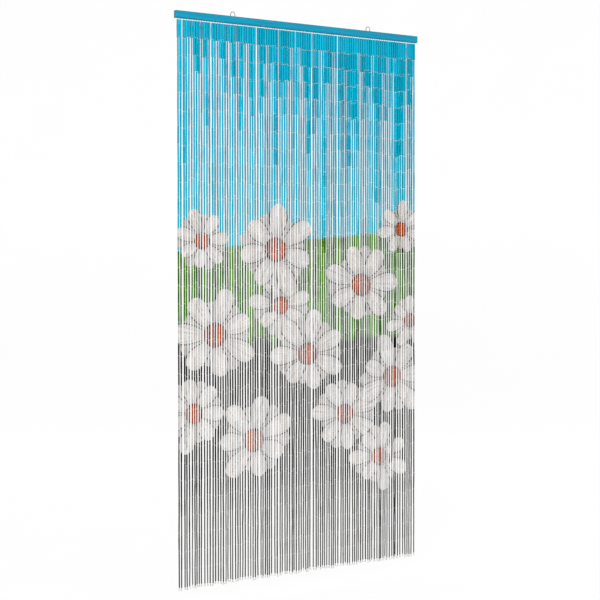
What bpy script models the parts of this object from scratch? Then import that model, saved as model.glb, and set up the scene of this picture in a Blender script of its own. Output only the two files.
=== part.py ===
# Bamboo door curtain. A painted wooden rail hangs from two wire eyes, and a hundred strands
# of thin bamboo tubes hang side by side from one narrow strip in the rail's underside.
#
# Frame: the curtain hangs in the XZ plane and is seen from -Y. X runs along the rail, +Z is up,
# and the origin is the middle of the rail's top face, halfway between the two eyes.

import bmesh
import bpy
import math
import random

MM = 0.001

# Rail
RAIL_LENGTH = 1000 * MM
RAIL_DEPTH = 16 * MM
RAIL_HEIGHT = 25 * MM
RAIL_EDGE = 1.2 * MM
RAIL_EDGE_STEPS = 2

# Clearance that two touching pieces keep
GAP = 0.3 * MM

# Wire eyes that the rail hangs by
EYE_SPACING = 560 * MM
EYE_WIRE = 2.5 * MM
EYE_WIDTH = 19 * MM
EYE_HEIGHT = 17.5 * MM
EYE_LEG_DEPTH = 12 * MM
EYE_ARC_STEPS = 12
EYE_HOLE_SIDES = 12

# Strip that carries the strands, in a groove of the rail
GROOVE_LENGTH = 984 * MM
GROOVE_WIDTH = 3.6 * MM
GROOVE_DEPTH = 3 * MM

# Strands
STRANDS = 100
STRAND_PITCH = 9.85 * MM
STRAND_END = -1988 * MM
STRAND_END_UNEVEN = 4 * MM
LINK_WIDTH = 1.4 * MM
FIRST_TUBE_TOP = -30 * MM
ROWS = 32
JOINT = 2 * MM
TUBE_THICK = 9 * MM
TUBE_THIN = 5.5 * MM
THIN_AT_TOP = 1.1
THIN_AT_FOOT = 0.85
TUBE_SQUARE = 0.92
SHOULDER = 0.6 * MM
TAIL_LENGTH = 11 * MM
TAIL_WIDTH = 1 * MM
TAIL_FAN = 3 * MM
STRAND_SEED = 34000

# Share of strands that stay thick for one row more, at the left and at the right
THICK_ON_LEFT = 0.66
THICK_ON_RIGHT = 0.83
THICK_ROWS_MOST = 13

# How far a strand drifts along the rail at its foot: two slow waves and its own share
WAVES = (
    {"size": 1.3 * MM, "turns": 7.3, "phase": 0.4},
    {"size": 1.1 * MM, "turns": 17.9, "phase": 1.1},
)
OWN_DRIFT = 0.9 * MM
MIDDLE_DRIFT = 0.8 * MM
DEPTH_DRIFT = 2 * MM


def clear_scene():
    for old in list(bpy.data.objects):
        bpy.data.objects.remove(old, do_unlink=True)


def new_collection(name):
    collection = bpy.data.collections.new(name)
    bpy.context.scene.collection.children.link(collection)
    return collection


def new_material(name, colour, roughness, metallic=0.0):
    material = bpy.data.materials.new(name)
    material.use_nodes = True
    shader = material.node_tree.nodes["Principled BSDF"]
    shader.inputs["Base Color"].default_value = (*colour, 1.0)
    shader.inputs["Roughness"].default_value = roughness
    shader.inputs["Metallic"].default_value = metallic
    return material


def add_object(name, mesh, collection, material=None):
    piece = bpy.data.objects.new(name, mesh)
    collection.objects.link(piece)
    if material:
        mesh.materials.append(material)
    return piece


def box_mesh(name, size):
    bm = bmesh.new()
    bmesh.ops.create_cube(bm, size=1.0)
    bmesh.ops.scale(bm, vec=size, verts=bm.verts)
    mesh = bpy.data.meshes.new(name)
    bm.to_mesh(mesh)
    bm.free()
    return mesh


def cylinder_mesh(name, radius, height, sides):
    bm = bmesh.new()
    bmesh.ops.create_cone(
        bm, cap_ends=True, segments=sides, radius1=radius, radius2=radius, depth=height
    )
    mesh = bpy.data.meshes.new(name)
    bm.to_mesh(mesh)
    bm.free()
    return mesh


def cut(piece, cutter):
    cutter.hide_render = True
    cutter.display_type = "WIRE"
    boolean = piece.modifiers.new("Cut " + cutter.name, "BOOLEAN")
    boolean.operation = "DIFFERENCE"
    boolean.solver = "EXACT"
    boolean.object = cutter


def eye_places():
    return {"left": -EYE_SPACING / 2, "right": EYE_SPACING / 2}


def build_rail(parts, cutters, paint):
    size = (RAIL_LENGTH, RAIL_DEPTH, RAIL_HEIGHT)
    rail = add_object("rail", box_mesh("rail", size), parts, paint)
    rail.location = (0, 0, -RAIL_HEIGHT / 2)
    edge = rail.modifiers.new("Sanded edges", "BEVEL")
    edge.width = RAIL_EDGE
    edge.segments = RAIL_EDGE_STEPS

    groove_size = (GROOVE_LENGTH, GROOVE_WIDTH, 2 * GROOVE_DEPTH)
    groove = add_object("groove", box_mesh("groove", groove_size), cutters)
    groove.location = (0, 0, -RAIL_HEIGHT)
    cut(rail, groove)

    # A round hole with flat sides, each of which still clears the wire
    hole_radius = (EYE_WIRE / 2 + GAP) / math.cos(math.pi / EYE_HOLE_SIDES)
    hole_depth = EYE_LEG_DEPTH + GAP
    leg_reach = (EYE_WIDTH - EYE_WIRE) / 2
    for side, eye_x in eye_places().items():
        for end, offset in (("a", -leg_reach), ("b", leg_reach)):
            name = "leg_hole_" + side + "_" + end
            mesh = cylinder_mesh(name, hole_radius, 2 * hole_depth, EYE_HOLE_SIDES)
            hole = add_object(name, mesh, cutters)
            hole.location = (eye_x + offset, 0, 0)
            cut(rail, hole)


def build_eye(name, eye_x, parts, metal):
    """One bent wire: a leg, half a turn and a leg, as a poly curve with a round section."""
    radius = (EYE_WIDTH - EYE_WIRE) / 2
    centre_z = EYE_HEIGHT - EYE_WIRE / 2 - radius
    route = [(-radius, -EYE_LEG_DEPTH)]
    for step in range(EYE_ARC_STEPS + 1):
        angle = math.pi * (1 - step / EYE_ARC_STEPS)
        route.append((radius * math.cos(angle), centre_z + radius * math.sin(angle)))
    route.append((radius, -EYE_LEG_DEPTH))

    wire = bpy.data.curves.new(name, "CURVE")
    wire.dimensions = "3D"
    wire.bevel_depth = EYE_WIRE / 2
    wire.bevel_resolution = 2
    wire.use_fill_caps = True
    spline = wire.splines.new("POLY")
    spline.points.add(len(route) - 1)
    for point, (x, z) in zip(spline.points, route):
        point.co = (x, 0, z, 1)
    eye = add_object(name, wire, parts, metal)
    eye.location = (eye_x, 0, 0)


def strand_plan(index):
    """Where one strand hangs, how thick its tubes are and how it drifts on the way down."""
    draw = random.Random(STRAND_SEED + index)
    share = index / (STRANDS - 1)
    plan = {"x": (index - (STRANDS - 1) / 2) * STRAND_PITCH}
    plan["thick"] = TUBE_THICK * draw.uniform(0.86, 1.03)
    plan["thin"] = TUBE_THIN * draw.uniform(0.93, 1.08)

    stays_thick = THICK_ON_LEFT + (THICK_ON_RIGHT - THICK_ON_LEFT) * share
    plan["thick_rows"] = 1
    while plan["thick_rows"] < THICK_ROWS_MOST and draw.random() < stays_thick:
        plan["thick_rows"] += 1

    foot_drift = OWN_DRIFT * draw.uniform(-1, 1)
    for wave in WAVES:
        angle = 2 * math.pi * wave["turns"] * share + wave["phase"]
        foot_drift += wave["size"] * math.sin(angle)
    plan["foot_drift"] = foot_drift
    plan["middle_drift"] = foot_drift / 2 + MIDDLE_DRIFT * draw.uniform(-1, 1)
    plan["foot_depth"] = DEPTH_DRIFT * draw.uniform(-1, 1)
    plan["end"] = STRAND_END + STRAND_END_UNEVEN * draw.uniform(-1, 1)
    plan["tail_fan"] = TAIL_FAN * draw.uniform(-1, 1)
    return plan


def strand_sections(index):
    """The square sections of one strand from its link down to its wire tail."""
    plan = strand_plan(index)
    row = (FIRST_TUBE_TOP - plan["end"] + JOINT) / ROWS
    thick_end = FIRST_TUBE_TOP - plan["thick_rows"] * row + JOINT
    middle = (thick_end + plan["end"]) / 2

    def section(z, width, drift, depth):
        return {"x": plan["x"] + drift, "y": depth, "z": z, "width": width}

    thick = plan["thick"] * TUBE_SQUARE
    thin = plan["thin"] * TUBE_SQUARE
    fall = (FIRST_TUBE_TOP - thick_end) / (FIRST_TUBE_TOP - middle)
    upper_drift = plan["middle_drift"] * fall
    upper_depth = plan["foot_depth"] / 2 * fall
    foot = plan["foot_drift"]
    depth = plan["foot_depth"]
    return [
        section(FIRST_TUBE_TOP, LINK_WIDTH, 0, 0),
        section(FIRST_TUBE_TOP - SHOULDER, thick, 0, 0),
        section(thick_end, thick, upper_drift, upper_depth),
        section(thick_end - SHOULDER, thin * THIN_AT_TOP, upper_drift, upper_depth),
        section(middle, thin, plan["middle_drift"], depth / 2),
        section(plan["end"], thin * THIN_AT_FOOT, foot, depth),
        section(plan["end"] - TAIL_LENGTH, TAIL_WIDTH, foot + plan["tail_fan"], depth),
    ]


def move_face_to(face, x, y, z, width, depth):
    centre = face.calc_center_median()
    for vert in face.verts:
        side_x = math.copysign(width / 2, vert.co.x - centre.x)
        side_y = math.copysign(depth / 2, vert.co.y - centre.y)
        vert.co = (x + side_x, y + side_y, z)


def build_strands(parts, paint):
    """A strip of alternate narrow and wide faces, whose narrow faces grow into strands."""
    strip_length = GROOVE_LENGTH - 2 * GAP
    strip_width = GROOVE_WIDTH - 2 * GAP
    strip_height = GROOVE_DEPTH - GAP
    columns = 2 * STRANDS + 1

    stations = [-strip_length / 2]
    for index in range(STRANDS):
        x = strand_plan(index)["x"]
        stations += [x - LINK_WIDTH / 2, x + LINK_WIDTH / 2]
    stations.append(strip_length / 2)

    bm = bmesh.new()
    bmesh.ops.create_grid(bm, x_segments=columns, y_segments=1, size=0.5)
    for vert in bm.verts:
        station = round((vert.co.x + 0.5) * columns)
        side_y = math.copysign(strip_width / 2, vert.co.y)
        vert.co = (stations[station], side_y, -RAIL_HEIGHT)
    underside = sorted(bm.faces, key=lambda face: face.calc_center_median().x)
    top = bmesh.ops.extrude_face_region(bm, geom=underside, use_keep_orig=True)
    top_verts = [item for item in top["geom"] if isinstance(item, bmesh.types.BMVert)]
    bmesh.ops.translate(bm, vec=(0, 0, strip_height), verts=top_verts)

    for index in range(STRANDS):
        face = underside[2 * index + 1]
        for at in strand_sections(index):
            face = bmesh.ops.extrude_discrete_faces(bm, faces=[face])["faces"][0]
            move_face_to(face, at["x"], at["y"], at["z"], at["width"], at["width"])
    bmesh.ops.recalc_face_normals(bm, faces=bm.faces)

    mesh = bpy.data.meshes.new("strands")
    bm.to_mesh(mesh)
    bm.free()
    add_object("strands", mesh, parts, paint)


def main():
    clear_scene()
    parts = new_collection("Bamboo door curtain")
    cutters = new_collection("Cutters")
    rail_paint = new_material("rail_paint", (0.03, 0.33, 0.57), 0.45)
    strand_paint = new_material("strand_paint", (0.20, 0.48, 0.62), 0.55)
    eye_metal = new_material("eye_metal", (0.36, 0.36, 0.36), 0.3, 1.0)

    build_rail(parts, cutters, rail_paint)
    for side, eye_x in eye_places().items():
        build_eye("hanging_eye_" + side, eye_x, parts, eye_metal)
    build_strands(parts, strand_paint)


main()
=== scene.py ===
# %% [markdown]
# A bamboo door curtain, dressed from its plain solids.
#
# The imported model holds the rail, the two wire eyes and a hundred plain hanging rods at their
# real sizes. This lesson turns the rods into what hangs there on the real curtain: strings of
# short bamboo tubes, linked by small wire loops, with a picture printed across them.
# The rail keeps its solid and only gets its paint.

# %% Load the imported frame
import bmesh
import bpy
import math
import random
from mathutils import Matrix, Vector


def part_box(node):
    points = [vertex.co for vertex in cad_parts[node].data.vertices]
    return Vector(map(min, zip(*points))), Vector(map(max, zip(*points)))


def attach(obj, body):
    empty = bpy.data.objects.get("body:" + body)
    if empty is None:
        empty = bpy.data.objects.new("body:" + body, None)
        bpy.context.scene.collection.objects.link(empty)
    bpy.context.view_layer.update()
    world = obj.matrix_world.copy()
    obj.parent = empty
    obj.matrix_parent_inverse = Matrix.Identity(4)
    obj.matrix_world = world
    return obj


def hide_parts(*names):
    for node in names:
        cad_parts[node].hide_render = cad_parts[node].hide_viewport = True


MM = 0.001
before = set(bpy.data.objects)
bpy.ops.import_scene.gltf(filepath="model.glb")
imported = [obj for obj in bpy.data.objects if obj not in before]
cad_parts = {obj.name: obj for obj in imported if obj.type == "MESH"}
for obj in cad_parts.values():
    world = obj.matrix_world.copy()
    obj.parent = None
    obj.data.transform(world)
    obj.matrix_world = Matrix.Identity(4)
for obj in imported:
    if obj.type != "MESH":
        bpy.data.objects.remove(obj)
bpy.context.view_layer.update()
rail_low, rail_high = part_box("rail")
print("nodes:", sorted(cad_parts))

# %% [markdown]
# The camera stands a little over four metres away, to the left of the curtain and about halfway
# up, and looks almost level. A long lens keeps the strands nearly parallel. The frame is
# lowered slightly with the lens shift, as a photographer does to keep upright lines upright.

# %% Camera
CAMERA_PLACE = (-2.0447, -3.7097, -0.8413)
CAMERA_TURN = 28.742
CAMERA_DOWN = 0.9
CAMERA_LENS = 69.71
CAMERA_SENSOR = 36
CAMERA_SHIFT = -0.04335

camera_data = bpy.data.cameras.new("camera")
camera_data.lens = CAMERA_LENS
camera_data.sensor_width = CAMERA_SENSOR
camera_data.shift_y = CAMERA_SHIFT
camera = bpy.data.objects.new("camera", camera_data)
camera.location = CAMERA_PLACE
camera.rotation_euler = (math.radians(90 - CAMERA_DOWN), 0, math.radians(-CAMERA_TURN))
bpy.context.scene.collection.objects.link(camera)
bpy.context.scene.camera = camera
bpy.context.scene.view_settings.view_transform = "Standard"
print("camera is", round(Vector(CAMERA_PLACE).xy.length, 2), "m away, lens", CAMERA_LENS, "mm")

# %% [markdown]
# A material here is a small tree of shader nodes. Written out in full, such a tree is long and
# hard to follow, so a helper writes it as sums: each call adds one node and hands back its
# output, and the next call takes that output as its input. The tree reads the place of a point
# on the object in metres, so a pattern has the same scale on every piece.

# %% A helper that writes node trees as sums
class Recipe:
    """Writes one material: every method adds a node and returns its output socket."""

    def __init__(self, name):
        self.material = bpy.data.materials.new(name)
        self.material.use_nodes = True
        self.tree = self.material.node_tree
        self.shader = self.tree.nodes["Principled BSDF"]
        self.coordinates = self.tree.nodes.new("ShaderNodeTexCoord")
        self.place = self.coordinates.outputs["Object"]

    def feed(self, socket, value):
        if isinstance(value, bpy.types.NodeSocket):
            self.tree.links.new(value, socket)
        else:
            socket.default_value = value

    def math(self, operation, *values):
        node = self.tree.nodes.new("ShaderNodeMath")
        node.operation = operation
        for socket, value in zip(node.inputs, values):
            self.feed(socket, value)
        return node.outputs["Value"]

    def vector(self, operation, *values):
        node = self.tree.nodes.new("ShaderNodeVectorMath")
        node.operation = operation
        for socket, value in zip(node.inputs, values):
            self.feed(socket, value)
        return node.outputs["Value" if operation == "DISTANCE" else "Vector"]

    def split(self, vector):
        node = self.tree.nodes.new("ShaderNodeSeparateXYZ")
        self.feed(node.inputs[0], vector)
        return node.outputs["X"], node.outputs["Y"], node.outputs["Z"]

    def join(self, x, y, z):
        node = self.tree.nodes.new("ShaderNodeCombineXYZ")
        for socket, value in zip(node.inputs, (x, y, z)):
            self.feed(socket, value)
        return node.outputs[0]

    def noise(self, place, scale, detail, stretch=(1, 1, 1)):
        node = self.tree.nodes.new("ShaderNodeTexNoise")
        self.feed(node.inputs["Vector"], self.vector("MULTIPLY", place, stretch))
        node.inputs["Scale"].default_value = scale
        node.inputs["Detail"].default_value = detail
        return node.outputs["Fac"]

    def chance(self, place):
        """A random number from 0 to 1 for each whole-numbered place."""
        node = self.tree.nodes.new("ShaderNodeTexWhiteNoise")
        node.noise_dimensions = "3D"
        self.feed(node.inputs["Vector"], place)
        return node.outputs["Value"]

    def spread(self, value, low, high, out_low=0.0, out_high=1.0):
        """Stretches the range low to high onto out_low to out_high, and stops at its ends."""
        node = self.tree.nodes.new("ShaderNodeMapRange")
        numbers = (value, low, high, out_low, out_high)
        for socket, number in zip(node.inputs, numbers):
            self.feed(socket, number)
        return node.outputs["Result"]

    def mix(self, share, first, second):
        node = self.tree.nodes.new("ShaderNodeMix")
        node.data_type = "RGBA"
        colours = [socket for socket in node.inputs if socket.type == "RGBA"]
        self.feed(node.inputs["Factor"], share)
        for socket, colour in zip(colours, (first, second)):
            self.feed(socket, colour if isinstance(colour, bpy.types.NodeSocket) else (*colour, 1))
        return [socket for socket in node.outputs if socket.type == "RGBA"][0]

    def either(self, share, first, second):
        """The first place where share is 0, and the second where it is 1."""
        node = self.tree.nodes.new("ShaderNodeMix")
        node.data_type = "VECTOR"
        places = [socket for socket in node.inputs if socket.type == "VECTOR"]
        self.feed(node.inputs["Factor"], share)
        self.feed(places[-2], first)
        self.feed(places[-1], second)
        return [socket for socket in node.outputs if socket.type == "VECTOR"][0]

    def attribute(self, name):
        node = self.tree.nodes.new("ShaderNodeAttribute")
        node.attribute_name = name
        return node.outputs["Fac"]

    def bump(self, height, strength, distance):
        node = self.tree.nodes.new("ShaderNodeBump")
        node.inputs["Strength"].default_value = strength
        node.inputs["Distance"].default_value = distance
        self.feed(node.inputs["Height"], height)
        self.tree.links.new(node.outputs["Normal"], self.shader.inputs["Normal"])

    def set(self, socket_name, value):
        self.feed(self.shader.inputs[socket_name], value)


def paint_colour(red, green, blue):
    """A colour picked on a 0 to 255 colour card, as the linear colour that shaders want."""
    def linear(level):
        share = level / 255
        return share / 12.92 if share <= 0.04045 else ((share + 0.055) / 1.055) ** 2.4
    return (linear(red), linear(green), linear(blue))


print("the card's middle grey, in linear light:", round(paint_colour(128, 128, 128)[0], 3))

# %% [markdown]
# The studio is one pale sheet that runs along the floor and up behind the curtain with a wide
# bend, so that no line shows where floor meets wall. It starts as a single edge, which is
# extruded along the floor, spun through the bend and extruded up. It isn't part of the object.

# %% Pale studio sweep
FLOOR_LEVEL = -2.06
SWEEP_WIDTH = 16.0
SWEEP_FRONT = -7.0
SWEEP_BACK = 3.5
SWEEP_BEND = 1.5
SWEEP_RISE = 6.06
BEND_STEPS = 16
PAPER_PALE = (0.14, 0.14, 0.14)
PAPER_DARK = (0.12, 0.12, 0.12)
PAPER_GLOW = 0.9


def only(kind, items):
    """The points, edges or faces among all that a bmesh operator gives back."""
    return [item for item in items if isinstance(item, kind)]


def finished(bm, name, smooth=False):
    """Shades a bmesh smooth or flat, writes it into a new mesh and frees it."""
    for face in bm.faces:
        face.smooth = smooth
    mesh = bpy.data.meshes.new(name)
    bm.to_mesh(mesh)
    bm.free()
    return mesh


def build_sweep():
    bm = bmesh.new()
    left = bm.verts.new((-SWEEP_WIDTH / 2, SWEEP_FRONT, FLOOR_LEVEL))
    right = bm.verts.new((SWEEP_WIDTH / 2, SWEEP_FRONT, FLOOR_LEVEL))
    edge = bm.edges.new((left, right))

    def carried_on(edges, step):
        new = bmesh.ops.extrude_edge_only(bm, edges=edges)["geom"]
        bmesh.ops.translate(bm, vec=step, verts=only(bmesh.types.BMVert, new))
        return only(bmesh.types.BMEdge, new)

    floor_end = carried_on([edge], (0, SWEEP_BACK - SWEEP_FRONT, 0))
    bend = bmesh.ops.spin(
        bm, geom=floor_end, cent=(0, SWEEP_BACK, FLOOR_LEVEL + SWEEP_BEND), axis=(1, 0, 0),
        angle=math.pi / 2, steps=BEND_STEPS, use_merge=False, use_normal_flip=False
    )
    carried_on(only(bmesh.types.BMEdge, bend["geom_last"]), (0, 0, SWEEP_RISE))
    turn = Matrix.Rotation(math.radians(-CAMERA_TURN), 3, "Z")
    bmesh.ops.rotate(bm, cent=(0, 0, 0), matrix=turn, verts=bm.verts)
    bmesh.ops.recalc_face_normals(bm, faces=bm.faces)
    return finished(bm, "studio_sweep", smooth=True)


sweep = bpy.data.objects.new("studio_sweep", build_sweep())
bpy.context.scene.collection.objects.link(sweep)
sweep_paper = Recipe("studio_paper")
paper_fibre = sweep_paper.noise(sweep_paper.place, 3.0, 3.0)
sweep_paper.set("Base Color", sweep_paper.mix(paper_fibre, PAPER_DARK, PAPER_PALE))
sweep_paper.set("Emission Color", (1.0, 1.0, 1.0, 1.0))
sweep_paper.set("Emission Strength", PAPER_GLOW)
sweep_paper.set("Roughness", 0.9)
sweep_paper.set("Specular IOR Level", 0.1)
sweep.data.materials.append(sweep_paper.material)
print("sweep faces:", len(sweep.data.polygons))

# %% [markdown]
# The light is soft and plain. The pale room lights everything evenly, a large soft box near the
# camera models the round tubes, and a weaker one from the other side keeps the shadows open.

# %% Soft light
ROOM_LIGHT = 0.35
KEY_LIGHT = {"name": "key_box", "place": (-3.0, -4.4, 0.6), "size": 2.4, "watts": 150}
FILL_LIGHT = {"name": "fill_box", "place": (3.6, -3.4, 0.4), "size": 2.6, "watts": 30}
LIGHTS_AIM = Vector((0, 0, -1.0))


def soft_box(facts, aim):
    light = bpy.data.lights.new(facts["name"], "AREA")
    light.shape = "SQUARE"
    light.size = facts["size"]
    light.energy = facts["watts"]
    box = bpy.data.objects.new(facts["name"], light)
    box.location = facts["place"]
    towards = aim - Vector(facts["place"])
    box.rotation_euler = towards.to_track_quat("-Z", "Y").to_euler()
    bpy.context.scene.collection.objects.link(box)


world = bpy.data.worlds.new("pale_room")
world.use_nodes = True
room = world.node_tree.nodes["Background"]
room.inputs["Color"].default_value = (1.0, 1.0, 1.0, 1.0)
room.inputs["Strength"].default_value = ROOM_LIGHT
bpy.context.scene.world = world
soft_box(KEY_LIGHT, LIGHTS_AIM)
soft_box(FILL_LIGHT, LIGHTS_AIM)

# %% [markdown]
# The plain rods say where each strand hangs, how many of its upper rows are thick tubes, and
# how it drifts on its way down. The same numbers are drawn here again, in the same order and
# from the same seeds, so every string of tubes hangs in its rod's place. At eight places two
# strands are parted by one or two millimetres, which lets a line of light through the top rows,
# and the strands beside them are pushed aside, no strand by much more than one millimetre.

# %% Where each strand hangs
STRANDS = 100
STRAND_PITCH = 9.85 * MM
STRAND_END = -1988 * MM
STRAND_END_UNEVEN = 4 * MM
FIRST_TUBE_TOP = -30 * MM
ROWS = 32
JOINT = 2 * MM
TUBE_THICK = 9 * MM
TUBE_THIN = 5.5 * MM
THICK_UNEVEN = (0.86, 1.03)
THIN_UNEVEN = (0.93, 1.08)
TAIL_LENGTH = 11 * MM
TAIL_FAN = 3 * MM
STRAND_SEED = 34000
THICK_ON_LEFT = 0.66
THICK_ON_RIGHT = 0.83
THICK_ROWS_MOST = 13
WAVES = (
    {"size": 1.3 * MM, "turns": 7.3, "phase": 0.4},
    {"size": 1.1 * MM, "turns": 17.9, "phase": 1.1},
)
OWN_DRIFT = 0.9 * MM
MIDDLE_DRIFT = 0.8 * MM
DEPTH_DRIFT = 2 * MM
PARTED = (
    {"after": 1, "by": 2.3 * MM},
    {"after": 12, "by": 2.3 * MM},
    {"after": 30, "by": 2.4 * MM},
    {"after": 39, "by": 1.3 * MM},
    {"after": 46, "by": 1.2 * MM},
    {"after": 53, "by": 1.9 * MM},
    {"after": 64, "by": 2.3 * MM},
    {"after": 95, "by": 2.3 * MM},
)
STRANDS_PUSHED = 6


def pushed_aside(index):
    """How far a strand stands from its even place, because strands near it are parted."""
    aside = 0
    for place in PARTED:
        # A parting lies half a step past its strand
        steps = index - place["after"] - 0.5
        share = max(0, 1 - (abs(steps) - 0.5) / STRANDS_PUSHED)
        aside += math.copysign(place["by"] / 2 * share, steps)
    return aside


def strand_plan(index):
    """Where one strand hangs, how thick its tubes are and how it drifts on the way down."""
    draw = random.Random(STRAND_SEED + index)
    share = index / (STRANDS - 1)
    plan = {"x": (index - (STRANDS - 1) / 2) * STRAND_PITCH}
    plan["thick"] = TUBE_THICK * draw.uniform(*THICK_UNEVEN)
    plan["thin"] = TUBE_THIN * draw.uniform(*THIN_UNEVEN)

    stays_thick = THICK_ON_LEFT + (THICK_ON_RIGHT - THICK_ON_LEFT) * share
    plan["thick_rows"] = 1
    while plan["thick_rows"] < THICK_ROWS_MOST and draw.random() < stays_thick:
        plan["thick_rows"] += 1

    foot_drift = OWN_DRIFT * draw.uniform(-1, 1)
    for wave in WAVES:
        angle = 2 * math.pi * wave["turns"] * share + wave["phase"]
        foot_drift += wave["size"] * math.sin(angle)
    plan["foot_drift"] = foot_drift
    plan["middle_drift"] = foot_drift / 2 + MIDDLE_DRIFT * draw.uniform(-1, 1)
    plan["foot_depth"] = DEPTH_DRIFT * draw.uniform(-1, 1)
    plan["end"] = STRAND_END + STRAND_END_UNEVEN * draw.uniform(-1, 1)
    plan["tail_fan"] = TAIL_FAN * draw.uniform(-1, 1)
    plan["x"] += pushed_aside(index)
    return plan


plans = [strand_plan(index) for index in range(STRANDS)]
thick_tubes = sum(plan["thick_rows"] for plan in plans)
print("thick tubes:", thick_tubes, "thin tubes:", STRANDS * ROWS - thick_tubes)

# %% [markdown]
# No two tubes are cut to quite the same length, so the rows line up at the top and slip out of
# step further down. Each joint also sits a little off the strand's line, which makes the tubes
# lean this way and that. The top row has thick tubes that nearly touch, and the thinnest slices
# are strung near the foot. A strand becomes a list of tubes, each with its two ends, its
# thickness and its tone.

# %% Cutting the tubes of one strand
CUT_UNEVEN = 0.07
LEAN_THICK = 0.12 * MM
LEAN_THIN = 0.5 * MM
JOINT_UNEVEN = 0.12
JOINT_THICK = 1.4 * MM
JOINT_THIN = 0.9 * MM
TOP_ROW_LEAST = 8.9 * MM
TOP_ROW_FALL = 0.15 * MM
WIDTH_MOST = 9.1 * MM
WIDTH_UNEVEN = (0.96, 1.04)
THIN_AT_TOP = 1.12
THIN_AT_FOOT = 0.80
STRING_SEED = 5200


def hanging_point(plan, z):
    """The strand's line at a height: it bends once, halfway between thick tubes and foot."""
    row = (FIRST_TUBE_TOP - plan["end"] + JOINT) / ROWS
    thick_end = FIRST_TUBE_TOP - plan["thick_rows"] * row + JOINT
    middle = (thick_end + plan["end"]) / 2
    if z > middle:
        share = (FIRST_TUBE_TOP - z) / (FIRST_TUBE_TOP - middle)
        return Vector((plan["x"] + plan["middle_drift"] * share, plan["foot_depth"] / 2 * share, z))
    share = (middle - z) / (middle - plan["end"])
    drift = plan["middle_drift"] + (plan["foot_drift"] - plan["middle_drift"]) * share
    return Vector((plan["x"] + drift, plan["foot_depth"] * (1 + share) / 2, z))


def cut_strand(index):
    """The tubes of one strand from the top down, as a list of facts for each."""
    plan = plans[index]
    draw = random.Random(STRING_SEED + index)
    lengths = [1 + CUT_UNEVEN * draw.uniform(-1, 1) for _ in range(ROWS)]
    row = (FIRST_TUBE_TOP - plan["end"] + JOINT) / sum(lengths)

    joints = [hanging_point(plan, FIRST_TUBE_TOP + JOINT / 2)]
    under_rail = hanging_point(plan, (rail_low.z + FIRST_TUBE_TOP) / 2)
    for number, length in enumerate(lengths):
        z = joints[-1].z - length * row
        lean = LEAN_THICK if number < plan["thick_rows"] else LEAN_THIN
        off_line = Vector((lean * draw.uniform(-1, 1), lean * draw.uniform(-1, 1), 0))
        joints.append(hanging_point(plan, z) + off_line)

    strand_tone = draw.random()
    tubes = []
    for number in range(ROWS):
        high, low = joints[number], joints[number + 1]
        along = (low - high).normalized()
        thick = number < plan["thick_rows"]
        gap = (JOINT_THICK if thick else JOINT_THIN) / 2 * (1 + JOINT_UNEVEN * draw.uniform(-1, 1))
        width = max(plan["thick"], TOP_ROW_LEAST - number * TOP_ROW_FALL)
        if not thick:
            fall = (number / (ROWS - 1)) ** 2
            width = plan["thin"] * (THIN_AT_TOP * (1 - fall) + THIN_AT_FOOT * fall)
        tubes.append({
            "top": high + along * gap, "bottom": low - along * gap,
            "joint": high if number else under_rail,
            "width": min(width * draw.uniform(*WIDTH_UNEVEN), WIDTH_MOST),
            "twist": draw.uniform(0, 2 * math.pi), "kind": draw.random(),
            "tone": draw.uniform(-1, 1), "strand_tone": strand_tone,
        })
    return tubes


strands = [cut_strand(index) for index in range(STRANDS)]
tube_lengths = [(tube["top"] - tube["bottom"]).length / MM for tubes in strands for tube in tubes]
print("tube lengths, mm:", round(min(tube_lengths), 1), "to", round(max(tube_lengths), 1))

# %% [markdown]
# A tube is a slice of a thin bamboo stem: round, hollow, its rim broken by sanding. It is made
# once and copied 3200 times, so it has only a few dozen faces: a cone with equal ends, a
# bevelled rim, an inset for the thickness of the wall, and the middle pushed in for the bore.
# Some slices keep one of the stem's knuckles, a low ring that comes from three extra cuts.

# %% One tube, and one with a knuckle
TUBE_SIDES = 8
PATTERN_RADIUS = TUBE_THIN / 2
PATTERN_LENGTH = 56.5 * MM
RIM_ROUND = 0.3 * MM
WALL_THICKNESS = 0.9 * MM
BORE_DEPTH = 4 * MM
KNUCKLE_AT = 11 * MM
KNUCKLE = (
    {"below": -1.1 * MM, "swell": 1.02},
    {"below": 0, "swell": 1.14},
    {"below": 1 * MM, "swell": 0.96},
)
KNUCKLE_REACH = 2 * MM
TINY = 0.01 * MM
FACES_UP = 0.9
FACES_ASIDE = 0.1
PRINTED, CUT_END = 0, 1
SIDES_SHARE = 0.8
END_MAP_START = 0.84
END_MAP_WIDTH = 0.14
END_MAP_LEVELS = {"rim": 0.97, "mouth": 0.88, "deep": 0.79}
END_MAP_MIDDLE = Vector((0.91, 0.66))
END_MAP_REACH = Vector((0.07, 0.09))


def round_share(face, vert):
    """How far round the tube a corner of a face lies, from 0 to 1."""
    centre = face.calc_center_median()
    middle = math.atan2(centre.y, centre.x)
    off = math.atan2(vert.co.y, vert.co.x) - middle
    off = (off + math.pi) % (2 * math.pi) - math.pi
    return (middle / (2 * math.pi)) % 1 + off / (2 * math.pi)


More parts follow.
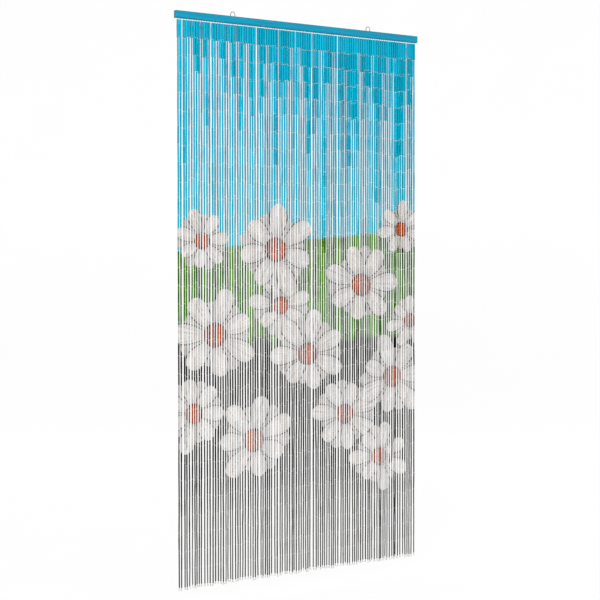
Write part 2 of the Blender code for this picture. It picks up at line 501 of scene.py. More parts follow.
def lay_out_tube(bm):
    """Unrolls the tube for baking: the sides upright, and what belongs to its ends beside them."""
    layer = bm.loops.layers.uv.new("OFBake")
    for face in bm.faces:
        upper = face.calc_center_median().z > 0
        for loop in face.loops:
            co = loop.vert.co
            share = round_share(face, loop.vert)
            if face.material_index == PRINTED:
                place = Vector((SIDES_SHARE * share, 0.5 + co.z / PATTERN_LENGTH))
            elif len(face.verts) == TUBE_SIDES:
                place = END_MAP_MIDDLE + co.xy.normalized() * END_MAP_REACH
            else:
                on_rim = co.xy.length > PATTERN_RADIUS - RIM_ROUND - WALL_THICKNESS / 2
                deep = PATTERN_LENGTH / 2 - abs(co.z) > BORE_DEPTH / 2
                ring = "rim" if on_rim else "deep" if deep else "mouth"
                place = Vector((END_MAP_START + END_MAP_WIDTH * share, END_MAP_LEVELS[ring]))
            if face.material_index != PRINTED and not upper:
                place.y = 1 - place.y
            loop[layer].uv = place


def end_faces(bm):
    return [face for face in bm.faces if abs(face.normal.z) > FACES_UP]


def edges_of(faces):
    """The edges of some faces, each once, in the faces' order."""
    return list(dict.fromkeys(edge for face in faces for edge in face.edges))


def add_knuckle(bm):
    """Cuts three rings round the tube and swells or narrows each."""
    for ring in KNUCKLE:
        sides = [face for face in bm.faces if abs(face.normal.z) < FACES_ASIDE]
        sides = [face for face in sides if face.material_index == PRINTED]
        cut = bmesh.ops.bisect_plane(
            bm, geom=sides + edges_of(sides), plane_co=(0, 0, KNUCKLE_AT - ring["below"]),
            plane_no=(0, 0, 1), dist=TINY
        )["geom_cut"]
        swell = (ring["swell"], ring["swell"], 1)
        bmesh.ops.scale(bm, vec=swell, verts=only(bmesh.types.BMVert, cut))


def tube_pattern(name, with_knuckle):
    bm = bmesh.new()
    bmesh.ops.create_cone(
        bm, cap_ends=True, cap_tris=False, segments=TUBE_SIDES,
        radius1=PATTERN_RADIUS, radius2=PATTERN_RADIUS, depth=PATTERN_LENGTH
    )
    bmesh.ops.bevel(
        bm, geom=edges_of(end_faces(bm)), offset=RIM_ROUND, offset_type="OFFSET", segments=1,
        profile=0.5, affect="EDGES", material=-1
    )
    caps = end_faces(bm)
    bmesh.ops.inset_region(bm, faces=caps, thickness=WALL_THICKNESS)
    for cap in caps:
        floor = bmesh.ops.extrude_discrete_faces(bm, faces=[cap])["faces"][0]
        inwards = -BORE_DEPTH if floor.calc_center_median().z > 0 else BORE_DEPTH
        bmesh.ops.translate(bm, vec=(0, 0, inwards), verts=floor.verts)
    bm.normal_update()
    ends = end_faces(bm)
    for face in bm.faces:
        widest = max(vert.co.xy.length for vert in face.verts)
        in_bore = widest < PATTERN_RADIUS - RIM_ROUND
        face.material_index = CUT_END if face in ends or in_bore else PRINTED
    if with_knuckle:
        add_knuckle(bm)
    along = bm.verts.layers.float.new("along_tube")
    for vert in bm.verts:
        vert[along] = 2 * vert.co.z / PATTERN_LENGTH
    for edge in bm.edges:
        across = abs(edge.verts[0].co.z - edge.verts[1].co.z) < TINY
        at_knuckle = abs(edge.verts[0].co.z - KNUCKLE_AT) < KNUCKLE_REACH
        edge.smooth = not across or at_knuckle
    lay_out_tube(bm)
    return finished(bm, name, smooth=True)


plain_tube = tube_pattern("plain_tube", False)
knuckle_tube = tube_pattern("knuckle_tube", True)
print("faces in a plain tube:", len(plain_tube.polygons))
print("faces in a tube with a knuckle:", len(knuckle_tube.polygons))

# %% [markdown]
# The copies are joined ten strands to a mesh, which keeps every mesh light enough to handle.
# A copy is stretched to its own width and length, twisted on its axis so that the knuckles
# don't line up, and laid along its line. Each point also remembers its tube's tone, its
# strand's tone and how far along its tube it lies, which the print reads later.

# %% Stringing the tubes
STRANDS_A_PIECE = 10
KNUCKLE_SHARE = 0.16
MAP_GUTTER = 0.04
MAP_LENGTH = 2.01


def placed(bottom, top, twist, width_scale, length_scale):
    """The matrix that lays an upright pattern along the line from bottom to top."""
    along = top - bottom
    turn = along.to_track_quat("Z", "Y").to_matrix().to_4x4()
    size = Matrix.Diagonal((width_scale, width_scale, length_scale, 1))
    return Matrix.Translation((top + bottom) / 2) @ turn @ Matrix.Rotation(twist, 4, "Z") @ size


def add_copy(bm, pattern, matrix):
    """Adds a copy of a pattern mesh and gives back its points and faces."""
    points_before, faces_before = len(bm.verts), len(bm.faces)
    bm.from_mesh(pattern)
    bm.verts.ensure_lookup_table()
    bm.faces.ensure_lookup_table()
    points = bm.verts[points_before:]
    bmesh.ops.transform(bm, matrix=matrix, verts=points)
    return points, bm.faces[faces_before:]


def joined(meshes, name):
    """Makes one mesh of several smooth ones and throws those away."""
    bm = bmesh.new()
    for mesh in meshes:
        bm.from_mesh(mesh)
        bpy.data.meshes.remove(mesh)
    return finished(bm, name, smooth=True)


def string_tubes(index):
    """The tubes of one strand as one mesh, which is cheap to add to because it is small."""
    bm = bmesh.new()
    tone = bm.verts.layers.float.new("tube_tone")
    strand_tone = bm.verts.layers.float.new("strand_tone")
    bm.verts.layers.float.new("along_tube")
    layer = bm.loops.layers.uv.new("OFBake")
    column = 1 / STRANDS_A_PIECE
    place = index % STRANDS_A_PIECE
    for tube in strands[index]:
        length = (tube["top"] - tube["bottom"]).length
        middle = (tube["top"].z + tube["bottom"].z) / 2
        matrix = placed(
            tube["bottom"], tube["top"], tube["twist"],
            tube["width"] / 2 / PATTERN_RADIUS, length / PATTERN_LENGTH
        )
        pattern = knuckle_tube if tube["kind"] < KNUCKLE_SHARE else plain_tube
        points, faces = add_copy(bm, pattern, matrix)
        for point in points:
            point[tone] = tube["tone"]
            point[strand_tone] = tube["strand_tone"]
        for face in faces:
            for loop in face.loops:
                u, v = loop[layer].uv
                across = (place + MAP_GUTTER / 2 + u * (1 - MAP_GUTTER)) * column
                height = middle + (v - 0.5) * length
                loop[layer].uv = (across, 1 + height / MAP_LENGTH)
    return finished(bm, "string_of_tubes", smooth=True)


def add_piece(mesh, slot, *materials):
    """Makes an object of a finished mesh, and lets it ride with the curtain."""
    piece = bpy.data.objects.new(mesh.name, mesh)
    bpy.context.scene.collection.objects.link(piece)
    for material in materials:
        mesh.materials.append(material)
    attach(piece, "root")
    return piece


tube_meshes = []
for first in range(0, STRANDS, STRANDS_A_PIECE):
    strings = [string_tubes(index) for index in range(first, first + STRANDS_A_PIECE)]
    name = "bamboo_tubes_" + str(first // STRANDS_A_PIECE + 1).zfill(2)
    tube_meshes.append(joined(strings, name))
print("faces in each mesh of tubes:", [len(mesh.polygons) for mesh in tube_meshes])

# %% [markdown]
# The picture is printed across the hanging tubes: sky above, a green slope, dark undergrowth
# with large pale flowers, and a plain grey foot. It is built in the material from the height
# and the place along the rail, in metres, so it runs on from strand to strand.
#
# A flower is a sum in polar form. The angle round its heart, cut in seven, says which petal a
# point belongs to, and the distance says how far out it lies. For each point only the nearest
# flower is worked out, and two such layers let flowers overlap.

# %% Flowers of the print
PETALS = 7
FRONT_FLOWERS = (
    {"x": -0.110, "z": -0.820, "reach": 0.185, "seed": 3},
    {"x": 0.250, "z": -0.950, "reach": 0.180, "seed": 8},
    {"x": -0.350, "z": -1.120, "reach": 0.185, "seed": 5},
    {"x": 0.020, "z": -1.200, "reach": 0.175, "seed": 13},
    {"x": 0.390, "z": -1.300, "reach": 0.175, "seed": 17},
    {"x": -0.200, "z": -1.500, "reach": 0.180, "seed": 22},
)
BACK_FLOWERS = (
    {"x": -0.400, "z": -0.790, "reach": 0.125, "seed": 34},
    {"x": 0.430, "z": -0.740, "reach": 0.120, "seed": 38},
    {"x": -0.090, "z": -1.020, "reach": 0.140, "seed": 41},
    {"x": 0.470, "z": -1.090, "reach": 0.115, "seed": 46},
    {"x": -0.430, "z": -1.390, "reach": 0.150, "seed": 53},
    {"x": 0.180, "z": -1.430, "reach": 0.160, "seed": 58},
    {"x": 0.330, "z": -1.600, "reach": 0.145, "seed": 66},
)
PETAL_LIGHT = paint_colour(224, 219, 214)
PETAL_BACK = paint_colour(186, 182, 178)
PETAL_GREY = paint_colour(124, 121, 120)
PETAL_LINE = paint_colour(44, 42, 42)
PETAL_BORDER = 0.90
PETAL_SHORTEST = 0.74
PETAL_HALF_WIDTH = 0.48
PETAL_NARROWING = 0.1
PETAL_TIP_STARTS = 0.5
STREAKS_ACROSS = 22.0
BACK_RING = {"turned": 0.5, "longest": 0.86, "paint": PETAL_BACK}
FRONT_RING = {"turned": 0.0, "longest": 1.0, "paint": PETAL_LIGHT}
OUTLINE_UNEVEN = 0.06
HEART_ORANGE = paint_colour(192, 80, 0)
HEART_DARK = paint_colour(66, 15, 0)
HEART_REACH = 0.265
HEART_DARKENS = (0.65 * HEART_REACH, 1.05 * HEART_REACH)
STEM_DARK = paint_colour(30, 34, 24)
STEM_LENGTH = 1.9
STEM_HALF_WIDTH = 0.035
STEM_WAVES = 0.9
STEM_SWAY = 0.12


def nearest_flower(recipe, place, flowers):
    """The point's offset from the nearest flower, in reaches, and its distance from it."""
    best, least = None, None
    for flower in flowers:
        reach = flower["reach"]
        offset = recipe.vector(
            "MULTIPLY_ADD", place, (1 / reach, 0, 1 / reach),
            (-flower["x"] / reach, flower["seed"], -flower["z"] / reach)
        )
        distance = recipe.vector("DISTANCE", offset, (0, flower["seed"], 0))
        if best is None:
            best, least = offset, distance
            continue
        nearer = recipe.math("LESS_THAN", distance, least)
        best = recipe.either(nearer, best, offset)
        least = recipe.math("MINIMUM", distance, least)
    return best, least


def petal_ring(recipe, under, angle, distance, seed, ring):
    """Lays one ring of round petals over the colour under it."""
    turned, longest = ring["turned"], ring["longest"]
    sector = recipe.math("MULTIPLY_ADD", angle, PETALS / (2 * math.pi), turned)
    number = recipe.math("FLOORED_MODULO", recipe.math("ROUND", sector), PETALS)
    across = recipe.math("SUBTRACT", sector, recipe.math("ROUND", sector))
    off_middle = recipe.math("ABSOLUTE", across)
    chance = recipe.chance(recipe.join(number, seed, turned))

    shortest = PETAL_SHORTEST * longest
    length = recipe.math("MULTIPLY_ADD", chance, longest - shortest, shortest)
    outwards = recipe.math("DIVIDE", distance, length)
    tip = recipe.spread(outwards, PETAL_TIP_STARTS, 1.0)
    roundness = recipe.math("SQRT", recipe.math("SUBTRACT", 1.0, recipe.math("MULTIPLY", tip, tip)))
    half_width = recipe.math("MULTIPLY_ADD", chance, -PETAL_NARROWING, PETAL_HALF_WIDTH)
    half_width = recipe.math("MULTIPLY", roundness, half_width)
    petal = recipe.math("LESS_THAN", off_middle, half_width)

    streak_place = recipe.join(recipe.math("MULTIPLY", across, STREAKS_ACROSS), number, outwards)
    streaks = recipe.spread(recipe.noise(streak_place, 1.3, 2.0), 0.45, 0.7, 0.0, 0.6)
    side = recipe.math("DIVIDE", off_middle, half_width)
    shade = recipe.spread(side, 0.3, 0.8, 0.0, 0.35)
    base = recipe.spread(outwards, 0.2, 0.55, 0.8, 0.0)
    greyness = recipe.math("MAXIMUM", recipe.math("MAXIMUM", streaks, shade), base)
    colour = recipe.mix(greyness, ring["paint"], PETAL_GREY)
    border = recipe.math("LESS_THAN", PETAL_BORDER, side)
    border = recipe.math("MULTIPLY", border, recipe.spread(outwards, 1.0, 0.85))
    colour = recipe.mix(border, colour, PETAL_LINE)
    return recipe.mix(petal, under, colour)


def flower_layer(recipe, under, place, flowers):
    """Draws the stems, two rings of petals and the heart of every flower in a list."""
    offset, distance = nearest_flower(recipe, place, flowers)
    aside, seed, upwards = recipe.split(offset)
    angle = recipe.math("ADD", recipe.math("ARCTAN2", upwards, aside), seed)
    uneven = recipe.noise(place, 22.0, 1.0)
    distance = recipe.math("MULTIPLY_ADD", uneven, OUTLINE_UNEVEN, distance)

    sway = recipe.math("SINE", recipe.math("MULTIPLY_ADD", upwards, STEM_WAVES, seed))
    off_stem = recipe.math("ABSOLUTE", recipe.math("MULTIPLY_ADD", sway, STEM_SWAY, aside))
    stem = recipe.math("LESS_THAN", off_stem, STEM_HALF_WIDTH)
    below = recipe.math("COMPARE", upwards, -STEM_LENGTH / 2, STEM_LENGTH / 2)
    colour = recipe.mix(recipe.math("MULTIPLY", stem, below), under, STEM_DARK)

    colour = petal_ring(recipe, colour, angle, distance, seed, BACK_RING)
    colour = petal_ring(recipe, colour, angle, distance, seed, FRONT_RING)

    stipple = recipe.spread(recipe.noise(place, 260.0, 1.0), 0.5, 0.62)
    rim = recipe.spread(distance, *HEART_DARKENS)
    heart_colour = recipe.mix(recipe.math("MAXIMUM", stipple, rim), HEART_ORANGE, HEART_DARK)
    heart = recipe.math("LESS_THAN", distance, HEART_REACH)
    return recipe.mix(heart, colour, heart_colour)


print("flowers:", len(FRONT_FLOWERS), "in front and", len(BACK_FLOWERS), "behind")

# %% [markdown]
# Behind the flowers the print has four bands. Each border is ragged: noise lifts and lowers the
# height before it is compared, and the sky's border with the slope also tilts a little. Over
# the picture come the things that make it look printed on bamboo: every tube takes the paint a
# little differently, fine fibres run lengthwise, and bare bamboo shows at the worn ends and in
# thin scratches. Each tube is also darkened on its flanks, where it faces its neighbours: that
# is painted shade.

# %% Printed bamboo
SKY_TOP = paint_colour(16, 180, 212)
SKY_MIDDLE = paint_colour(0, 177, 208)
SKY_LOW = paint_colour(24, 182, 205)
SLOPE_GREEN = paint_colour(10, 76, 0)
SLOPE_PALE = paint_colour(92, 156, 0)
DARK_GREEN = paint_colour(20, 28, 12)
UNDERGROWTH = paint_colour(5, 5, 5)
FOOT_PALE = paint_colour(116, 116, 112)
FOOT_DARK = paint_colour(8, 8, 8)
BARE_BAMBOO = paint_colour(204, 176, 124)
CUT_PALE = paint_colour(226, 204, 158)
CUT_WARM = paint_colour(196, 166, 114)
CUT_FIBRE = paint_colour(140, 108, 66)
SLOPE_TOP = {"height": -0.785, "soft": 0.004}
SLOPE_END = {"height": -1.15, "soft": 0.01}
UNDERGROWTH_END = {"height": -1.70, "soft": 0.06}
SLOPE_TILT = 0.09
RAGGED = 0.05
SKYLINE_RAGGED = 0.3
TUBE_TONE = 0.18
TONE_IN_SLOPE = 0.5
TONE_IN_FOOT = 0.85
FIBRE_TONES = (0.86, 1.08)
PAINTED_FLANK_SHADE = 0.68
WORN_END = {"share": 0.05, "soft": 0.006, "bare": 0.85}
SCRATCH_BARE = 0.3


def printed_picture(recipe, strand_tone):
    """Four bands one below the other, and the flowers over them."""
    place = recipe.place
    x, _, z = recipe.split(place)
    ragged = recipe.math("MULTIPLY_ADD", recipe.noise(place, 14.0, 3.0), 2 * RAGGED, -RAGGED)
    height = recipe.math("ADD", z, ragged)
    skyline = recipe.math("MULTIPLY_ADD", ragged, SKYLINE_RAGGED, z)
    skyline = recipe.math("MULTIPLY_ADD", x, -SLOPE_TILT, skyline)

    sky = recipe.mix(recipe.spread(z, -0.05, -0.40), SKY_TOP, SKY_MIDDLE)
    sky = recipe.mix(recipe.spread(z, -0.35, -0.78), sky, SKY_LOW)
    clumps = recipe.spread(recipe.noise(place, 30.0, 3.0), 0.35, 0.65, 0.0, 0.5)
    slope_share = recipe.math("MULTIPLY_ADD", strand_tone, TONE_IN_SLOPE, clumps)
    slope = recipe.mix(slope_share, SLOPE_GREEN, SLOPE_PALE)
    blades = recipe.spread(recipe.noise(place, 60.0, 2.0, stretch=(1, 1, 0.15)), 0.5, 0.62)
    thicket = recipe.mix(blades, UNDERGROWTH, DARK_GREEN)
    stains = recipe.spread(recipe.noise(place, 5.0, 2.0, stretch=(1, 1, 0.3)), 0.35, 0.65)
    stains = recipe.math("MULTIPLY", stains, 1 - TONE_IN_FOOT)
    foot_share = recipe.math("MULTIPLY_ADD", strand_tone, TONE_IN_FOOT, stains)
    foot = recipe.mix(foot_share, FOOT_DARK, FOOT_PALE)

    def bordered(line, border, upper, lower):
        high, low = border["height"] + border["soft"], border["height"] - border["soft"]
        return recipe.mix(recipe.spread(line, high, low), upper, lower)

    picture = bordered(skyline, SLOPE_TOP, sky, slope)
    picture = bordered(height, SLOPE_END, picture, thicket)
    picture = bordered(height, UNDERGROWTH_END, picture, foot)
    picture = flower_layer(recipe, picture, place, BACK_FLOWERS)
    return flower_layer(recipe, picture, place, FRONT_FLOWERS)


def printed_bamboo():
    recipe = Recipe("printed_bamboo")
    place = recipe.place
    picture = printed_picture(recipe, recipe.attribute("strand_tone"))

    fibre = recipe.noise(place, 1500.0, 2.0, stretch=(1, 1, 0.02))
    # Painted shade: each tube is darkened on its flanks, the sides that face its neighbours along
    # the rail.
    side = recipe.math("ABSOLUTE", recipe.split(recipe.coordinates.outputs["Normal"])[0])
    tone = recipe.math("MULTIPLY_ADD", recipe.attribute("tube_tone"), TUBE_TONE, 1.0)
    tone = recipe.math("MULTIPLY", tone, recipe.spread(fibre, 0.3, 0.7, *FIBRE_TONES))
    tone = recipe.math("MULTIPLY", tone, recipe.spread(side, 0.6, 1.0, 1.0, PAINTED_FLANK_SHADE))
    painted = recipe.vector("MULTIPLY", picture, recipe.join(tone, tone, tone))

    from_end = recipe.math("SUBTRACT", 1.0, recipe.math("ABSOLUTE", recipe.attribute("along_tube")))
    chips = recipe.noise(place, 900.0, 2.0, stretch=(1, 1, 0.4))
    worn = recipe.math("MULTIPLY_ADD", chips, 0.1, from_end)
    worn_starts = WORN_END["share"] + WORN_END["soft"]
    worn = recipe.spread(worn, worn_starts, WORN_END["share"], 0.0, WORN_END["bare"])
    scratches = recipe.noise(place, 2200.0, 2.0, stretch=(1, 1, 0.01))
    scratches = recipe.spread(scratches, 0.67, 0.71, 0.0, SCRATCH_BARE)
    bare = recipe.math("MAXIMUM", worn, scratches)
    recipe.set("Base Color", recipe.mix(bare, painted, BARE_BAMBOO))
    recipe.set("Roughness", recipe.spread(fibre, 0.3, 0.7, 0.55, 0.75))
    recipe.set("Specular IOR Level", 0.03)
    recipe.bump(fibre, 0.12, 0.1 * MM)
    return recipe.material


def cut_bamboo():
    """The sawn ends and the bore: pale wood with dark fibre dots."""
    recipe = Recipe("cut_bamboo")
    dots = recipe.spread(recipe.noise(recipe.place, 2600.0, 2.0), 0.45, 0.65)
    warmth = recipe.noise(recipe.place, 300.0, 2.0)
    wood = recipe.mix(warmth, CUT_PALE, CUT_WARM)
    recipe.set("Base Color", recipe.mix(dots, wood, CUT_FIBRE))
    recipe.set("Roughness", recipe.spread(dots, 0, 1, 0.6, 0.8))
    recipe.bump(dots, 0.3, 0.1 * MM)
    return recipe.material


print_paint = printed_bamboo()
end_wood = cut_bamboo()
for mesh in tube_meshes:
    tubes = add_piece(mesh, "printed_bamboo", print_paint, end_wood)
    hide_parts("strands")
print("nodes in the print's tree:", len(print_paint.node_tree.nodes))

# %% [markdown]
# Between two tubes hang two small wire eyes, one from each tube, hooked into each other at a
# right angle like the links of a chain. An eye is a little circle of wire spun once round and
# drawn longer. The topmost eye of each strand is held by the strip in the rail's groove, so the
# same pair is used at all the joints.

# %% Wire links
LINK_WIRE = 0.55 * MM
EYE_WIDE = 2.0 * MM
EYE_TALL = 3.3 * MM
LINK_SIDES = 3
LINK_STEPS = 8
HOOK_OVERLAP = 0.35 * MM
STRANDS_A_CHAIN = 25
LINK_SEED = 7100
ZINC_DARK = paint_colour(126, 128, 130)
ZINC_LIGHT = paint_colour(168, 168, 166)


def wire_eye(name):
    """One eye of wire, standing in the XZ plane round the origin."""
    bm = bmesh.new()
    section = bmesh.ops.create_circle(
        bm, cap_ends=False, segments=LINK_SIDES, radius=LINK_WIRE / 2
    )["verts"]
    bmesh.ops.translate(bm, vec=(EYE_WIDE / 2, 0, 0), verts=section)
    bmesh.ops.spin(
        bm, geom=list(bm.edges) + section, cent=(0, 0, 0), axis=(0, 1, 0),
        angle=2 * math.pi, steps=LINK_STEPS, use_merge=True, use_normal_flip=False
    )
    bmesh.ops.scale(bm, vec=(1, 1, EYE_TALL / EYE_WIDE), verts=bm.verts)
    bmesh.ops.recalc_face_normals(bm, faces=bm.faces)
    return finished(bm, name, smooth=True)


def hang_eyes(index):
    """The wire eyes of one strand as one mesh."""
    bm = bmesh.new()
    draw = random.Random(LINK_SEED + index)
    tubes = strands[index]
    for tube in tubes:
        turn = draw.uniform(0, math.pi)
        for way, quarter in ((1, 0), (-1, math.pi / 2)):
            lift = way * (EYE_TALL / 2 - HOOK_OVERLAP)
            matrix = Matrix.Translation(tube["joint"] + Vector((0, 0, lift)))
            add_copy(bm, eye_pattern, matrix @ Matrix.Rotation(turn + quarter, 4, "Z"))
    last = tubes[-1]["bottom"] - Vector((0, 0, EYE_TALL / 4))
    turn = Matrix.Rotation(draw.uniform(0, math.pi), 4, "Z")
    add_copy(bm, eye_pattern, Matrix.Translation(last) @ turn)
    return finished(bm, "string_of_eyes", smooth=True)


def bright_wire():
    """Zinc-coated wire: bright, with dull patches and fine drawing marks."""
    recipe = Recipe("bright_wire")
    patches = recipe.noise(recipe.place, 180.0, 3.0)
    recipe.set("Base Color", recipe.mix(patches, ZINC_DARK, ZINC_LIGHT))
    recipe.set("Metallic", 1.0)
    recipe.set("Roughness", recipe.spread(patches, 0.3, 0.7, 0.24, 0.46))
    marks = recipe.noise(recipe.place, 4000.0, 1.0, stretch=(1, 1, 0.1))
    recipe.bump(marks, 0.2, 0.05 * MM)
    return recipe.material


eye_pattern = wire_eye("wire_eye")
wire = bright_wire()
for first in range(0, STRANDS, STRANDS_A_CHAIN):
    chains = [hang_eyes(index) for index in range(first, first + STRANDS_A_CHAIN)]
    name = "wire_links_" + str(first // STRANDS_A_CHAIN + 1)
    links = add_piece(joined(chains, name), "steel_wire", wire)
    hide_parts("strands")
print("faces in one wire eye:", len(eye_pattern.polygons))

# %% [markdown]
# Under the rail a narrow strip fills the groove and holds the topmost wire eyes. It lies flush
# with the wood, so only its underside shows. It is a plain batten with its edges broken.

# %% Strip in the groove
STRIP_EDGE = 0.3 * MM
GAP = 0.3 * MM
GROOVE_LENGTH = 984 * MM
GROOVE_WIDTH = 3.6 * MM
GROOVE_DEPTH = 3 * MM


def groove_strip():
    size = Vector((GROOVE_LENGTH - 2 * GAP, GROOVE_WIDTH - 2 * GAP, GROOVE_DEPTH - GAP))
    bm = bmesh.new()
    bmesh.ops.create_cube(bm, size=1)
    bmesh.ops.scale(bm, vec=size, verts=bm.verts)
    bmesh.ops.translate(bm, vec=(0, 0, rail_low.z + size.z / 2), verts=bm.verts)
    bmesh.ops.bevel(
        bm, geom=list(bm.edges), offset=STRIP_EDGE, offset_type="OFFSET", segments=2,
        profile=0.5, affect="EDGES", material=-1
    )
    return finished(bm, "groove_strip")


strip_mesh = groove_strip()
print("strip faces:", len(strip_mesh.polygons))

# %% [markdown]
# At its foot each strand ends in the last wire eye, whose wire is wound twice round itself and
# cut off, so that two ends stand out a little to the sides. The winding is a circle spun round
# twice and lowered at each step. An end is a thin tapering cone, cut across a few times and
# bent by moving each ring sideways, further the further out it lies.

# %% Wire ends at the foot
TWIST_WIDE = 1.7 * MM
TWIST_TURNS = 2
TWIST_DROP = 0.7 * MM
TWIST_BELOW_TUBE = 2.1 * MM
TWIST_TURN_MOST = 3
WIRE_END = 1.2 * MM
WIRE_END_TIP = 0.84 * MM
WIRE_END_SIDES = 4
WIRE_END_CUTS = 3
WIRE_END_REACH = 9.5 * MM
WIRE_END_SWING = 3.2 * MM
WIRE_END_LENGTHS = (0.75, 1.05)
WIRE_END_TURN = 0.7
WIRE_END_TILT = 0.25
WIRE_END_SEED = 900
WIRE_BROWN = paint_colour(84, 79, 68)
WIRE_DARK = paint_colour(52, 47, 38)


def wire_twist():
    """Two turns of wire, wound downwards from the origin round the Z axis."""
    bm = bmesh.new()
    section = bmesh.ops.create_circle(
        bm, cap_ends=False, segments=LINK_SIDES, radius=LINK_WIRE / 2
    )["verts"]
    upright = Matrix.Rotation(math.pi / 2, 3, "X")
    bmesh.ops.rotate(bm, cent=(0, 0, 0), matrix=upright, verts=section)
    bmesh.ops.translate(bm, vec=(TWIST_WIDE / 2, 0, 0), verts=section)
    bmesh.ops.spin(
        bm, geom=list(bm.edges) + section, cent=(0, 0, 0), axis=(0, 0, 1),
        dvec=(0, 0, -TWIST_DROP / LINK_STEPS), angle=2 * math.pi * TWIST_TURNS,
        steps=LINK_STEPS * TWIST_TURNS, use_merge=False, use_normal_flip=False
    )
    bmesh.ops.recalc_face_normals(bm, faces=bm.faces)
    return finished(bm, "wire_twist", smooth=True)


def wire_end():
    """One cut wire end, hanging from the origin and bending towards +X."""
    bm = bmesh.new()
    bmesh.ops.create_cone(
        bm, cap_ends=True, cap_tris=False, segments=WIRE_END_SIDES,
        radius1=WIRE_END_TIP / 2, radius2=WIRE_END / 2, depth=WIRE_END_REACH
    )
    bmesh.ops.translate(bm, vec=(0, 0, -WIRE_END_REACH / 2), verts=bm.verts)
    for cut in range(1, WIRE_END_CUTS + 1):
        level = -WIRE_END_REACH * cut / (WIRE_END_CUTS + 1)
        geom = list(bm.faces) + list(bm.edges) + list(bm.verts)
        bmesh.ops.bisect_plane(bm, geom=geom, plane_co=(0, 0, level), plane_no=(0, 0, 1))
    for vert in bm.verts:
        vert.co.x += WIRE_END_SWING * (vert.co.z / WIRE_END_REACH) ** 2
    return finished(bm, "wire_end", smooth=True)


def finish_feet():
    bm = bmesh.new()
    end_pattern, twist_pattern = wire_end(), wire_twist()
    draw = random.Random(WIRE_END_SEED)
    for plan, tubes in zip(plans, strands):
        top = Matrix.Translation(tubes[-1]["bottom"] - Vector((0, 0, TWIST_BELOW_TUBE)))
        twisted = Matrix.Rotation(draw.uniform(0, TWIST_TURN_MOST), 4, "Z")
        add_copy(bm, twist_pattern, top @ twisted)
        lean = math.atan2(plan["tail_fan"], TAIL_LENGTH)
        for side in (0, math.pi):
            turn = side + draw.uniform(-WIRE_END_TURN, WIRE_END_TURN)
            tilt = -lean + draw.uniform(-WIRE_END_TILT, WIRE_END_TILT)
            size = Matrix.Diagonal((1, 1, draw.uniform(*WIRE_END_LENGTHS), 1))
            turned = Matrix.Rotation(tilt, 4, "Y") @ Matrix.Rotation(turn, 4, "Z")
            add_copy(bm, end_pattern, top @ turned @ size)
    return finished(bm, "wire_ends", smooth=True)


def dull_wire():
    """Cut wire that has gone dull and a little brown."""
    recipe = Recipe("dull_wire")
    patches = recipe.spread(recipe.noise(recipe.place, 900.0, 2.0), 0.4, 0.6)
    recipe.set("Base Color", recipe.mix(patches, WIRE_BROWN, WIRE_DARK))
    recipe.set("Metallic", 0.4)
    recipe.set("Roughness", recipe.spread(patches, 0, 1, 0.5, 0.75))
    recipe.bump(patches, 0.3, 0.05 * MM)
    return recipe.material


feet = add_piece(finish_feet(), "steel_wire", dull_wire())
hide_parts("strands")
print("faces in the wire ends:", len(feet.data.polygons))

# %% [markdown]
# The rail hangs by two bent wires. Each is one round wire: a leg, half a turn and a leg. A
# circle is extruded up the first leg, spun through the half turn and extruded down again,
# which keeps one even section all the way, finer than the solid's.

# %% Hanging eyes
EYE_WIRE = 2.5 * MM
WIRE_SIDES = 16
ARC_STEPS = 32


def hanging_eye(side):
    low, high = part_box("hanging_eye_" + side)
    centre_x = (low.x + high.x) / 2
    reach = (high.x - low.x - EYE_WIRE) / 2
    arc_z = high.z - EYE_WIRE / 2 - reach
    bm = bmesh.new()
    section = bmesh.ops.create_circle(
        bm, cap_ends=True, segments=WIRE_SIDES, radius=EYE_WIRE / 2
    )["verts"]
    bmesh.ops.translate(bm, vec=(centre_x - reach, 0, low.z), verts=section)

    def drawn_out(face, step):
        grown = bmesh.ops.extrude_face_region(bm, geom=[face])["geom"]
        bmesh.ops.translate(bm, vec=step, verts=only(bmesh.types.BMVert, grown))
        return only(bmesh.types.BMFace, grown)[0]

    bm.faces.ensure_lookup_table()
    end = drawn_out(bm.faces[0], (0, 0, arc_z - low.z))
    arc = bmesh.ops.spin(
        bm, geom=[end], cent=(centre_x, 0, arc_z), axis=(0, 1, 0),
        angle=math.pi, steps=ARC_STEPS, use_merge=False, use_normal_flip=False
    )
    end = only(bmesh.types.BMFace, arc["geom_last"])[0]
    drawn_out(end, (0, 0, low.z - arc_z))
    bmesh.ops.recalc_face_normals(bm, faces=bm.faces)
    return finished(bm, "bent_wire_" + side, smooth=True)


for side in ("left", "right"):
    eye = add_piece(hanging_eye(side), "steel_wire", wire)
    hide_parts("hanging_eye_" + side)
    print(eye.name, "faces:", len(eye.data.polygons))

# %% [markdown]
# The rail is softwood under turquoise paint. The paint was brushed along the rail, so its marks
# and the grain under it run lengthwise, and it has worn thin along the edges, where the wood
# shows in small chips. How near a point is to an edge follows from its place in the rail's box.
# The strip in the groove gets the same paint.

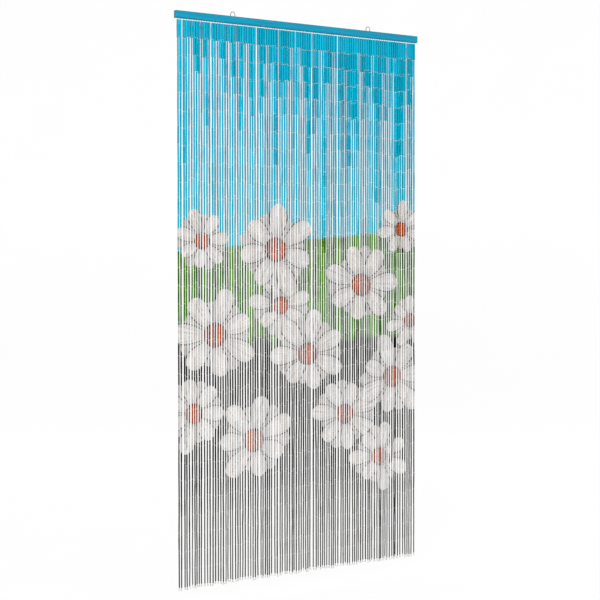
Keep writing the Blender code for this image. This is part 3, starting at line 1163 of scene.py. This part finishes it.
# %% Rail paint
RAIL_TURQUOISE = paint_colour(6, 160, 194)
RAIL_DEEP = paint_colour(2, 142, 178)
BARE_WOOD = paint_colour(196, 176, 140)
EDGE_DARK = paint_colour(14, 96, 118)
END_GREY = paint_colour(88, 128, 142)


def rail_paint():
    recipe = Recipe("rail_paint")
    place = recipe.place
    x, y, z = recipe.split(place)
    half_depth, half_height = rail_high.y, (rail_high.z - rail_low.z) / 2
    from_front = recipe.math("SUBTRACT", half_depth, recipe.math("ABSOLUTE", y))
    off_middle = recipe.math("ABSOLUTE", recipe.math("ADD", z, half_height))
    from_top = recipe.math("SUBTRACT", half_height, off_middle)
    from_end = recipe.math("SUBTRACT", rail_high.x, recipe.math("ABSOLUTE", x))

    grain = recipe.noise(place, 160.0, 3.0, stretch=(0.04, 1, 1))
    brush = recipe.noise(place, 700.0, 2.0, stretch=(0.02, 1, 1))
    colour = recipe.mix(recipe.spread(grain, 0.35, 0.65), RAIL_TURQUOISE, RAIL_DEEP)
    end_face = recipe.spread(from_end, 0.9 * MM, 0.2 * MM)
    colour = recipe.mix(recipe.math("MULTIPLY", end_face, 0.7), colour, END_GREY)

    # The rail is darker within a few millimetres of its long edges.
    near_edge = recipe.math("ADD", from_front, from_top)
    darker_near_edges = recipe.spread(near_edge, 3.5 * MM, 0.5 * MM)
    colour = recipe.mix(recipe.math("MULTIPLY", darker_near_edges, 0.8), colour, EDGE_DARK)
    chips = recipe.noise(place, 240.0, 3.0, stretch=(0.35, 1, 1))
    worn = recipe.spread(recipe.math("MULTIPLY_ADD", chips, 4 * MM, near_edge), 2.5 * MM, 2.1 * MM)
    colour = recipe.mix(worn, colour, BARE_WOOD)
    recipe.set("Base Color", colour)
    recipe.set("Roughness", recipe.spread(brush, 0.3, 0.7, 0.45, 0.65))
    recipe.set("Specular IOR Level", 0.2)
    recipe.bump(recipe.math("ADD", grain, brush), 0.25, 0.25 * MM)
    return recipe.material


def paint_node(name, material):
    """Gives a carried-over solid its finish in every material slot."""
    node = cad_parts[name]
    if not node.data.materials:
        node.data.materials.append(material)
    for slot in node.material_slots:
        slot.material = material


paint = rail_paint()
paint_node("rail", paint)
strip = add_piece(strip_mesh, "painted_wood", paint)
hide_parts("strands")
